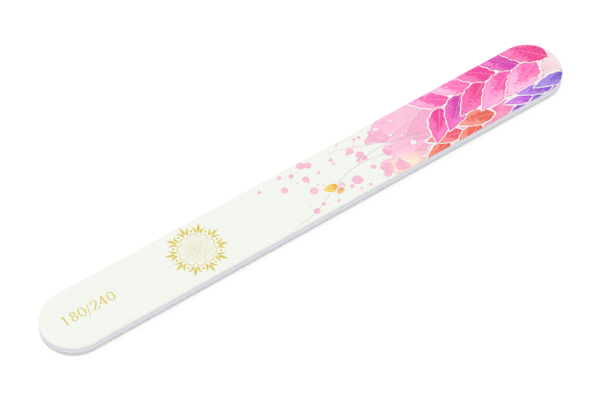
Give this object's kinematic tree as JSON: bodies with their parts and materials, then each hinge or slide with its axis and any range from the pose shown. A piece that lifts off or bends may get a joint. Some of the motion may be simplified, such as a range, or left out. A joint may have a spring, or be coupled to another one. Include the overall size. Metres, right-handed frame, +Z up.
{
  "type": "nail file",
  "caption": "Straight cushioned nail file with full round ends, die-cut from a laminate of abrasive paper, foam and a stiff core.",
  "frame": {"origin": "middle of the underside, on the surface that the file lies on", "axes": "+X along the length, in the direction that the grit numbers read; +Y across the width; +Z up through the stack, out of the printed 180 side"},
  "size_m": [0.178, 0.02, 0.0036],
  "materials": {
    "medium_grit": "white fused alumina in resin, matt, printed in pinks",
    "fine_grit": "fine white fused alumina in resin, matt, unprinted",
    "backing_paper": "latex-treated backing paper, cut edge showing",
    "cushion_foam": "closed-cell EVA foam, fine cut cells",
    "core_plastic": "white polystyrene sheet, die-cut edge",
    "adhesive_film": "clear acrylic adhesive film, seen only as a hairline at the rim",
    "gold_foil": "hot-stamped gold foil"
  },
  "bodies": {
    "root": {"grit_coat_240": "fine_grit", "paper_backing_240": "backing_paper", "paper_film_240": "adhesive_film", "foam_pad_240": "cushion_foam", "core_film_240": "adhesive_film", "core_strip": "core_plastic", "core_film_180": "adhesive_film", "foam_pad_180": "cushion_foam", "paper_film_180": "adhesive_film", "paper_backing_180": "backing_paper", "grit_coat_180": "medium_grit"}
  },
  "joints": []
}
